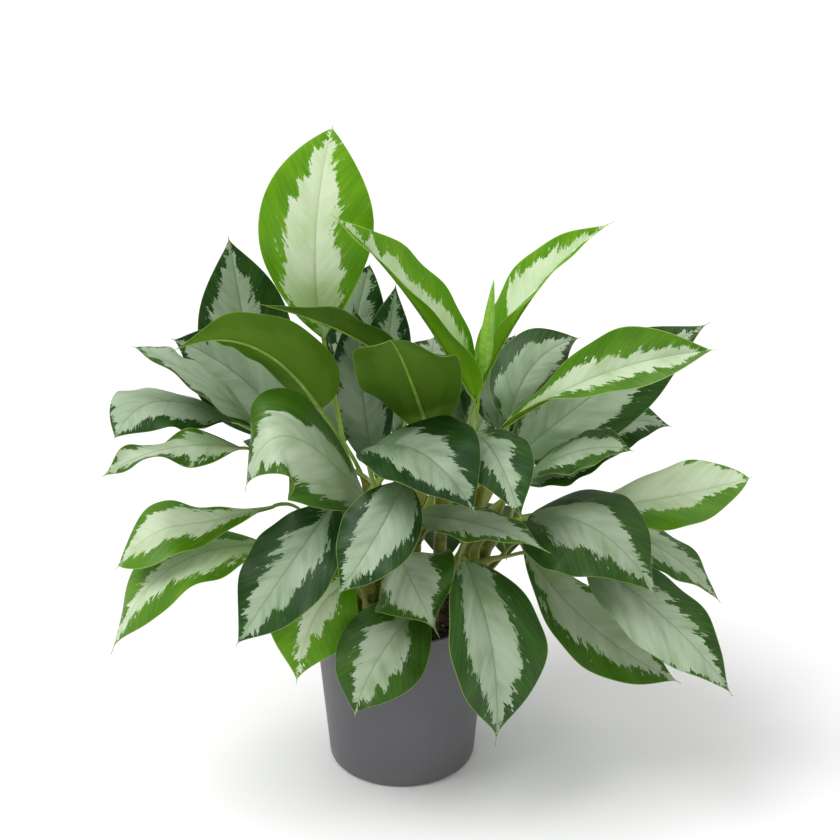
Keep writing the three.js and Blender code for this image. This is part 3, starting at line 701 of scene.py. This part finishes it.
def stalk_rings(seat, neck, arriving, blade_side, lean, sheath):
    """The stalk's cross-sections from its sheath to the blade."""
    middle, cane_along, cane_radius, outward = seat
    foot = middle + outward * (cane_radius + STALK_FOOT_RADIUS + STALK_CLEARANCE)
    span = np.linalg.norm(neck - foot)
    points = (
        foot,
        foot + (cane_along + STALK_SPLAY * outward) * STALK_RISE * span + lean,
        neck - arriving * STALK_REACH * span + lean,
        neck,
    )
    s = np.linspace(0, 1, STALK_RINGS) ** 1.15
    at, along = bent(points, s)
    foot_side = np.cross(outward, UP)
    if np.dot(foot_side, blade_side) < 0:
        foot_side = -foot_side
    side, out = frame_at(along, foot_side + (blade_side - foot_side) * s[:, None])
    freed = soft_step(s, 0.3 * sheath, sheath)
    radius = STALK_FOOT_RADIUS + (STALK_NECK_RADIUS - STALK_FOOT_RADIUS) * np.sqrt(s)
    radius = radius * (FOOT_SWELLING - (FOOT_SWELLING - 1) * freed)
    winged = WING_SPREAD - (WING_SPREAD - 1) * freed
    rings = half_round(at, side, out, radius, soft_step(s, 0, 0.5), winged)
    cane = cane_along, cane_radius, outward, side[0]
    for i in np.flatnonzero(s < SHEATH_LENGTH):
        crescent = clasping(middle + cane_along * s[i] * span * 0.8, *cane, SHEATH_THICKNESS)
        rings[i] += (crescent - rings[i]) * (1 - soft_step(s[i], 0.02, SHEATH_LENGTH))
    foot_edge = clasping(middle - cane_along * SHEATH_FOOT, *cane, 0.1)
    return np.concatenate((foot_edge[None], rings)), np.concatenate(([-SHEATH_FOOT], s * span))


def midrib_at(leaf, t):
    """Places and directions along a blade's midrib."""
    base, middle, tip = (np.array(leaf[end], float) for end in ("base", "middle", "tip"))
    control = 2 * middle - (base + tip) / 2
    t = np.reshape(t, (-1, 1))
    at = (1 - t) ** 2 * base + 2 * (1 - t) * t * control + t * t * tip
    at[:, 2] -= leaf["droop"] * np.maximum(0, (t[:, 0] - 0.6) / 0.4) ** 2
    return at, unit((1 - t) * (control - base) + t * (tip - control))


def blade_frame(leaf, along, blade_side, t):
    """The directions to the blade's right edge and away from its upper face, twisted along it."""
    side, out = frame_at(along, blade_side)
    turn = np.radians(leaf["twist"] * (np.reshape(t, (-1, 1)) - 0.5))
    return side * np.cos(turn) - out * np.sin(turn), out * np.cos(turn) + side * np.sin(turn)


def groove_at(t):
    """How deep the midrib is sunk in the blade."""
    return 0.7 * (1 - t) ** 0.7


def stalk_piece(name, leaf, seat, blade_side, seed):
    """A stalk with its sheath, running on under the blade as its rib."""
    neck, arriving = midrib_at(leaf, [0.0])
    neck_side, _ = blade_frame(leaf, arriving, blade_side, [0.0])
    rings, length = stalk_rings(
        seat, neck[0], arriving[0], neck_side[0], np.array(leaf["lean"], float), leaf["sheath"]
    )
    t = np.linspace(0.02, 0.95, RIB_RINGS)
    at, along = midrib_at(leaf, t)
    side, out = blade_frame(leaf, along, blade_side, t)
    radius = RIB_TIP_RADIUS + (STALK_NECK_RADIUS - RIB_TIP_RADIUS) * (1 - t) ** 0.9
    sunk = at - out * (0.3 * radius + groove_at(t))[:, None]
    rings = np.concatenate((rings, half_round(sunk, side, out, radius, np.ones_like(t))))
    stalk = new_piece(f"stalk_{name}", *tube(rings))
    length = np.concatenate((length, length[-1] + 60 + 150 * t))[:, None]
    # A stripe along each lip of the channel, which the skin paints pale as a highlight.
    edge = np.exp(-(((-np.sin(STALK_TURN) - 0.3) / 0.25) ** 2))
    keep_place(stalk, "stem_place", STALK_TURN[None] * 3 + seed, length, edge[None])
    return stalk


# The stalk's pale overlay along its channel lips is a painted highlight.
stalk_skin = stem_skin(
    "stalk_skin", (0.3, 0.7), ((112, 146, 34), (142, 172, 62)),
    (("Along", (95, 25), (118, 124, 36)), ("Scars_And_Painted_Sheen", (0.6, 1.0, 0, 0.7), (196, 200, 128))),
    (0.32, 0.46), 0.0003,
)


# ---------------------------------------------------------------- the blades
# A thin leathery blade, glossy above and duller below, quilted along veins that leave the
# midrib at about 45 degrees and arch to the tip. Its middle is silver, with a torn edge along
# the veins. The green margin ends in a pale rim, and the tip is drawn out.

BLADE_HALF_THICKNESS, TIP_HALF_WIDTH, OVAL_END = 0.35, 1.5, 0.975
BLADE_ROWS = np.concatenate((
    (0.0015, 0.006), np.linspace(0.014, 0.93, 58), (0.945, 0.958, 0.97, 0.98, 0.99, 0.998)
))
HALF_ACROSS = np.array((
    0.015, 0.035, 0.07, 0.12, 0.18, 0.26, 0.35, 0.44, 0.53, 0.62, 0.71, 0.8, 0.88, 0.945, 0.985, 1
))
ACROSS = np.array([*-HALF_ACROSS[::-1], 0, *HALF_ACROSS])
VEIN_SPACING, VEIN_RISE, VEIN_ARCH, QUILTING = 13.0, 0.85, 0.011, 0.32
EDGE_RIPPLE, LEFT_EDGE_RATE, RIGHT_EDGE_RATE = 2.2, 21, 24


def half_width_at(leaf, t):
    """The blade's outline: an oval that closes just before the drawn-out tip."""
    shift = math.log(0.5) / math.log(leaf["widest"])
    oval = np.sin(math.pi * np.clip(t / OVAL_END, 0, 1) ** shift) ** (0.75 + leaf["point"] * t**4)
    drip = TIP_HALF_WIDTH * np.sqrt(np.clip(1.0 - t, 0, 1))
    return np.hypot(0.5 * leaf["width"] * np.nan_to_num(oval), drip)


def blade_surface(leaf, blade_side, seed):
    """The blade's middle surface, as rows of places, with what the materials read there."""
    luck = np.random.default_rng(100 + seed)
    t, u = BLADE_ROWS, ACROSS[None]
    at, along = midrib_at(leaf, t)
    side, out = blade_frame(leaf, along, blade_side, t)
    width = half_width_at(leaf, t)[:, None]
    length = run_along(at)[:, None]
    q = np.abs(u)
    angle = np.radians(leaf["fold"]) - np.radians(leaf["curl"]) * q
    rows = t[:, None]
    ripple = leaf["wave"] * q * q * np.sin(math.pi * rows) * np.sin(
        2 * math.pi * leaf["ripples"] * rows + np.where(u < 0, 1.6, 0)
    )
    small = luck.uniform(0, 6.28, 4)
    ripple = ripple + EDGE_RIPPLE * q**3 * np.sin(math.pi * rows) * np.where(
        u < 0, np.sin(rows * LEFT_EDGE_RATE + small[0]), np.sin(rows * RIGHT_EDGE_RATE + small[1])
    )
    aside = u * width
    vein = (
        length - VEIN_RISE * np.abs(aside) - VEIN_ARCH * aside**2
        + 1.6 * np.sin(length / 31 + small[2]) + np.where(u < 0, 4.5, 0) + 20 * small[3]
    )
    fading = (1 - np.exp(-np.abs(aside) / 5)) * (1 - q**6) * np.minimum(1, width / 25)
    quilt = QUILTING * (np.sin(math.pi * vein / VEIN_SPACING) ** 2 - 0.5) * fading
    groove = groove_at(rows) * np.exp(-((aside / 1.8) ** 2))
    lift = q * width * np.sin(angle) + ripple + quilt - groove
    places = (
        at[:, None] + (aside * np.cos(angle))[..., None] * side[:, None] + lift[..., None] * out[:, None]
    )
    narrowing = 1 - 0.5 * rows**2.5 - 0.75 * soft_step(rows, 0.9, 0.985)
    narrowing = narrowing + leaf["flare"] * (1 - soft_step(rows, 0.05, 0.42))
    half = np.where(u > 0, 1, 0)
    wander = 0.07 * np.sin(rows * 8 + small[0] + half) + 0.05 * np.sin(rows * 17 + small[1] - half)
    edge = (q - (np.where(u < 0, *leaf["silver"]) + wander) * narrowing) * width
    return places, {
        "vein_place": (vein, aside, 10.0 * seed),
        "leaf_edges": (edge, (1 - q) * width, rows),
        # Its second number is "deep", the painted shade of a leaf that stands in the others' shade.
        "leaf_age_and_painted_shade": (leaf["young"], leaf["deep"], np.zeros_like(edge)),
    }


def blade_faces(rows, columns):
    """Quads over the upper and the under side, round the margins and over both ends."""
    grid = np.arange(rows * columns).reshape(rows, columns)
    under = grid + rows * columns

    def quads(*corners):
        return np.stack([corner.ravel() for corner in corners], -1)

    upper_faces = quads(grid[:-1, :-1], grid[:-1, 1:], grid[1:, 1:], grid[1:, :-1])
    under_faces = quads(under[:-1, :-1], under[1:, :-1], under[1:, 1:], under[:-1, 1:])
    margins = np.concatenate((
        quads(grid[:-1, 0], grid[1:, 0], under[1:, 0], under[:-1, 0]),
        quads(grid[:-1, -1], under[:-1, -1], under[1:, -1], grid[1:, -1]),
        quads(grid[0, :-1], under[0, :-1], under[0, 1:], grid[0, 1:]),
        quads(grid[-1, :-1], grid[-1, 1:], under[-1, 1:], under[-1, :-1]),
    ))
    return upper_faces, under_faces, margins


def blade_piece(name, leaf, blade_side, seed):
    """A blade as a closed sheet, with one finish above and round its margins, and one below."""
    middle, kept = blade_surface(leaf, blade_side, seed)
    away = unit(np.cross(np.gradient(middle, axis=1), np.gradient(middle, axis=0)))
    away = away * (BLADE_HALF_THICKNESS * (1 - 0.6 * np.abs(ACROSS) ** 8))[None, :, None]
    places = np.concatenate((middle + away, middle - away)).reshape(-1, 3)
    upper_faces, under_faces, margins = blade_faces(*middle.shape[:2])
    faces = np.concatenate((upper_faces, under_faces, margins))
    blade = new_piece(f"blade_{name}", places, faces.tolist())
    finish = np.zeros(len(faces), np.int32)
    finish[len(upper_faces):len(upper_faces) + len(under_faces)] = 1
    blade.data.polygons.foreach_set("material_index", finish)
    smooth = np.ones(len(faces), bool)
    smooth[-len(margins):] = False
    blade.data.polygons.foreach_set("use_smooth", smooth)
    both_sheets = np.zeros((2, 1, 1))
    for layer, numbers in kept.items():
        keep_place(blade, layer, *(number + both_sheets for number in numbers))
    return blade


# The silver's edge is torn into lobes, teeth and strokes. Each has its size from vein to vein and
# outwards, its detail and roughness, and how far it reaches.
TORN_EDGE = ((17, 20, 1.0, 0.5, 26), (4.2, 7.5, 2.0, 0.6, 17), (1.7, 4, 1.0, 0.5, 11))
FLECK_SIZE, FLECK_REACH, FLECK_CHANCE = 6, 13, 0.15


def variegation_group():
    """The pattern of a variegated blade in its own colours, with its glow, shine and relief."""
    colours = ("Silver", "Shade", "Green", "Light Green", "Rim", "Glow")
    sockets = {f"{age} {name}": "colour" for name in colours for age in ("Old", "Young")}
    group, inputs, outputs = new_group(
        "leaf_variegation", {**sockets, "Sheen": "number"},
        {"Colour": "colour", "Through": "colour", "Roughness": "number", "Height": "number"},
    )
    kept = [
        place_node(group, "Attribute", attribute_name=name).outputs["Vector"]
        for name in ("vein_place", "leaf_edges", "leaf_age_and_painted_shade")
    ]
    (vein, aside, _), (edge, rim, along), (young, deep, _) = (
        place_node(group, "SeparateXYZ", {0: vector}).outputs for vector in kept
    )

    def mottled(vein_to_vein, outwards, detail, roughness=0.5):
        """Noise that follows the veins, in patches of this size in millimetres."""
        place = stretched(group, kept[0], 1 / vein_to_vein, 1 / outwards, 1)
        return noise(group, place, 1.0, detail, roughness)

    young = sum_of(group, "POWER", young, 1.7)
    tinted = {
        name: blend_colours(group, young, inputs[f"Old {name}"], inputs[f"Young {name}"])
        for name in colours
    }
    torn = edge
    for *grown, reach in TORN_EDGE:
        ragged = sum_of(group, "MULTIPLY_ADD", mottled(*grown), reach, -reach / 2)
        torn = sum_of(group, "ADD", torn, ragged)
    green = ease(group, torn, -0.35, 0.35)
    place = stretched(group, kept[0], 1 / FLECK_SIZE, 1 / FLECK_SIZE, 1)
    dots = place_node(group, "TexVoronoi", {"Vector": place, "Scale": 1.0}).outputs
    lot = place_node(group, "SeparateColor", {0: dots["Color"]}).outputs[0]
    chosen = ease(group, lot, 0.99 - FLECK_CHANCE, 1.01 - FLECK_CHANCE)
    fleck = sum_of(group, "MULTIPLY", chosen, ease(group, torn, FLECK_REACH, 5))
    fleck = sum_of(group, "MULTIPLY", ease(group, dots["Distance"], 0.26, 0.17), fleck)
    green = sum_of(group, "MULTIPLY", green, sum_of(group, "SUBTRACT", 1.0, fleck))
    clouds = mottled(38, 30, 2.0)
    bands = mottled(11, 55, 2.0)
    # The silver's darker tone follows random mottling, and near the base it is painted shade.
    mottling_and_base_shade = sum_of(group, "MULTIPLY_ADD", clouds, 0.9, sum_of(group, "MULTIPLY_ADD", bands, 0.45, -0.38))
    mottling_and_base_shade = sum_of(group, "ADD", mottling_and_base_shade, ease(group, along, 0.4, 0.0, 0, 0.5))
    silver = blend_colours(group, ease(group, mottling_and_base_shade, 0.1, 0.75), tinted["Silver"], tinted["Shade"])
    haze = mottled(3.5, 20, 3.0, 0.6)
    light = sum_of(group, "MULTIPLY_ADD", clouds, 0.8, sum_of(group, "MULTIPLY_ADD", haze, 0.35, -0.28))
    blade_green = blend_colours(
        group, ease(group, light, 0.15, 0.6), tinted["Green"], tinted["Light Green"]
    )
    hazy = sum_of(group, "MULTIPLY", ease(group, torn, 12, 0), ease(group, haze, 0.5, 0.75, 0, 0.35))
    blade_green = blend_colours(group, hazy, blade_green, tinted["Shade"])
    colour = blend_colours(group, green, silver, blade_green)
    off_vein = sum_of(group, "PINGPONG", vein, VEIN_SPACING / 2)
    # Painted shade: a faint darker line along the crease of each lateral vein.
    vein_crease_shade = ease(group, off_vein, 1.0, 0.1, 0, 0.12)
    colour = blend_colours(group, vein_crease_shade, colour, tinted["Shade"])
    # Painted shade: the colour darkens along the sunk midrib, most towards the base.
    off_rib = sum_of(group, "ABSOLUTE", aside)
    rib = ease(group, sum_of(group, "ADD", off_rib, along), 2.0, 1.0, 0, 0.6)
    colour = blend_colours(group, rib, colour, tinted["Shade"])
    colour = blend_colours(group, ease(group, rim, 1.0, 0.4, 0, 0.8), colour, tinted["Rim"])
    # Painted shade: "deep" blends the colour towards a dark green on leaves in the others' shade.
    colour = blend_colours(group, deep, colour, paint(18, 32, 16))
    veinlets = mottled(1.1, 9, 2.0)
    swell = sum_of(group, "MULTIPLY", clouds, 0.8)
    height = sum_of(group, "MULTIPLY_ADD", veinlets, 0.05, swell)
    height = sum_of(group, "MULTIPLY_ADD", ease(group, off_vein, 0.0, 1.6), 0.07, height)
    shine = sum_of(group, "MULTIPLY_ADD", veinlets, 0.16, inputs["Sheen"])
    through = blend_colours(group, 0.6, colour, tinted["Glow"])
    made = {"Colour": colour, "Through": through, "Roughness": shine, "Height": height}
    for name, value in made.items():
        group.links.new(value, outputs[name])
    return group


variegation = variegation_group()


def leaf_skin(name, sheen, through, **colours):
    """A leaf's skin, in old and young colours, that lets some light through."""
    skin, tree, out = new_material(name)
    pattern = place_node(tree, "Group", node_tree=variegation)
    pattern.inputs["Sheen"].default_value = sheen
    for part, (old, young) in colours.items():
        part = part.replace("_", " ").title()
        pattern.inputs["Old " + part].default_value = paint(*old)
        pattern.inputs["Young " + part].default_value = paint(*young)
    surface = place_node(tree, "BsdfPrincipled", {
        "Base Color": pattern.outputs["Colour"], "Roughness": pattern.outputs["Roughness"],
        "Specular IOR Level": 0.26, "Normal": raised(tree, pattern.outputs["Height"], 0.001),
    })
    glow = place_node(tree, "BsdfTranslucent", {"Color": pattern.outputs["Through"]})
    both = place_node(tree, "MixShader", {0: through, 1: surface.outputs[0], 2: glow.outputs[0]})
    tree.links.new(both.outputs[0], out.inputs[0])
    return skin


LEAF_SKINS = (
    leaf_skin(
        "leaf_upper_skin", 0.3, 0.2,
        silver=((178, 198, 168), (234, 247, 216)), shade=((118, 146, 106), (200, 222, 160)),
        green=((24, 58, 20), (92, 150, 0)), light_green=((48, 92, 34), (122, 176, 6)),
        rim=((142, 168, 88), (186, 214, 104)), glow=((80, 120, 24), (150, 215, 0)),
    ),
    leaf_skin(
        "leaf_under_skin", 0.45, 0.46,
        silver=((88, 112, 60), (132, 182, 10)), shade=((98, 126, 60), (146, 194, 30)),
        green=((70, 98, 42), (126, 184, 0)), light_green=((80, 110, 48), (138, 196, 8)),
        rim=((142, 168, 88), (186, 214, 104)), glow=((96, 140, 24), (190, 240, 0)),
    ),
)
YOUNG_LEAVES = ("top_upright", "left_folded", "right_folded", "right_bright", "front_left_young")
for cane in CANES:
    for name, seat in seats_on(cane).items():
        if name == "spear":
            spear_seat = seat
            continue
        leaf = {**LEAF_DEFAULTS, **LEAVES[name]}
        number = list(LEAVES).index(name)
        blade_side = unit(np.cross(midrib_at(leaf, [0.5])[1][0], np.array(leaf["face"], float)))
        stalk = stalk_piece(name, leaf, seat, blade_side, number)
        stalk.data.materials.append(stalk_skin)
        settle(stalk, "stalk", f"leaf_{name}")
        blade = blade_piece(name, leaf, blade_side, number)
        for skin in LEAF_SKINS:
            blade.data.materials.append(skin)
        settle(blade, "young_leaf" if name in YOUNG_LEAVES else "leaf", f"leaf_{name}")


# ---------------------------------------------------------------- the rolled leaf
# The newest leaf, still rolled into a slender spear round its own midrib. The outer margin
# winds round it as a fine lapped seam, and its tip is a long point.

SPEAR_RINGS, SPEAR_TIP_RADIUS, SPEAR_TURNS, SPEAR_LAP = 46, 0.35, 5.0, 0.16

neck, spear_tip = np.array(SPEAR["base"], float), np.array(SPEAR["tip"], float)
spear_way = unit(spear_tip - neck)
rings, length = stalk_rings(spear_seat, neck, spear_way, np.array((0, 1.0, 0)), np.zeros(3), 0.5)
s = np.linspace(0.02, 1, SPEAR_RINGS)[:, None]
side, out = frame_at(np.tile(spear_way, (SPEAR_RINGS, 1)), np.array((0, 1.0, 0)))
radius = np.maximum(SPEAR_TIP_RADIUS, SPEAR["radius"] * np.sin(math.pi * s**0.6) ** 0.8)
radius = np.maximum(radius, STALK_NECK_RADIUS * (1 - 6 * s))
wound = (STALK_TURN[None] + SPEAR_TURNS * s) / (2 * math.pi) % 1
radius = (radius * (1 + SPEAR_LAP * (wound - 0.5)))[..., None]
turn = STALK_TURN[None, :, None]
rolled = (neck + s * (spear_tip - neck))[:, None] + radius * (
    np.cos(turn) * side[:, None] - np.sin(turn) * out[:, None]
)
spear = new_piece("rolled_new_leaf", *tube(np.concatenate((rings, rolled))))
length = np.concatenate((length[:, None], length[-1] + s * 150))
keep_place(spear, "stem_place", STALK_TURN[None] * 3, length, 0)

spear_skin = stem_skin(
    "rolled_leaf_skin", (0.3, 0.7), ((120, 176, 30), (150, 200, 70)),
    (("Fibres", (0.5, 0.75, 0, 0.5), (190, 220, 130)),), (0.3, 0.45), 0.0003,
)
spear.data.materials.append(spear_skin)
settle(spear, "young_leaf", "rolled_leaf")


# ---------------------------------------------------------------- the studio
# A plain pale floor, soft even light from all round, and a large soft light up on the left.

FLOOR_REACH = 15000
AIR_BELOW, AIR_ABOVE = 0.5, 0.86
KEY_LIGHT_STRENGTH, KEY_LIGHT_SPREAD, KEY_LIGHT_WAY = 1.9, math.radians(38), (0.52, 0.2, -0.84)
CAMERA_PLACE, CAMERA_TILT = (0.022, -1.6, 1.06), math.radians(68.6)
SENSOR_WIDTH, FOCAL_LENGTH_IN_PIXELS, PHOTOGRAPH_WIDTH_IN_PIXELS = 36, 1518, 840

corners = ((-1, -1, 0), (1, -1, 0), (1, 1, 0), (-1, 1, 0))
floor = new_piece("studio_floor", FLOOR_REACH * np.array(corners), [(0, 1, 2, 3)])
pale, tree, out = new_material("pale_floor")
place = place_node(tree, "TexCoord").outputs["Object"]
faint = noise(tree, place, 1.5, 2.0)
colour = blend_colours(tree, faint, paint(246, 246, 246), paint(250, 250, 250))
plain_surface(tree, out, colour, 0.7)
floor.data.materials.append(pale)

world = bpy.data.worlds.new("studio_air")
bpy.context.scene.world = world
world.use_nodes = True
air = world.node_tree
way = place_node(air, "TexCoord").outputs["Generated"]
above = place_node(air, "SeparateXYZ", {0: way}).outputs[2]
glow = air.nodes["Background"].inputs
air.links.new(ease(air, above, -0.1, 0.9, AIR_BELOW, AIR_ABOVE), glow["Strength"])
glow["Color"].default_value = (1, 1, 1, 1)

lamp = bpy.data.lights.new("key_light", "SUN")
lamp.energy, lamp.angle = KEY_LIGHT_STRENGTH, KEY_LIGHT_SPREAD
key_light = bpy.data.objects.new("key_light", lamp)
key_light.rotation_euler = Vector(KEY_LIGHT_WAY).to_track_quat("-Z", "Y").to_euler()
bpy.context.scene.collection.objects.link(key_light)

camera = bpy.data.objects.new("camera", bpy.data.cameras.new("camera"))
camera.location = CAMERA_PLACE
camera.rotation_euler = (CAMERA_TILT, 0, 0)
camera.data.sensor_width = SENSOR_WIDTH
camera.data.lens = SENSOR_WIDTH * FOCAL_LENGTH_IN_PIXELS / PHOTOGRAPH_WIDTH_IN_PIXELS
camera.data.clip_end = 60
bpy.context.scene.collection.objects.link(camera)
bpy.context.scene.camera = camera
bpy.context.scene.view_settings.view_transform = "Standard"
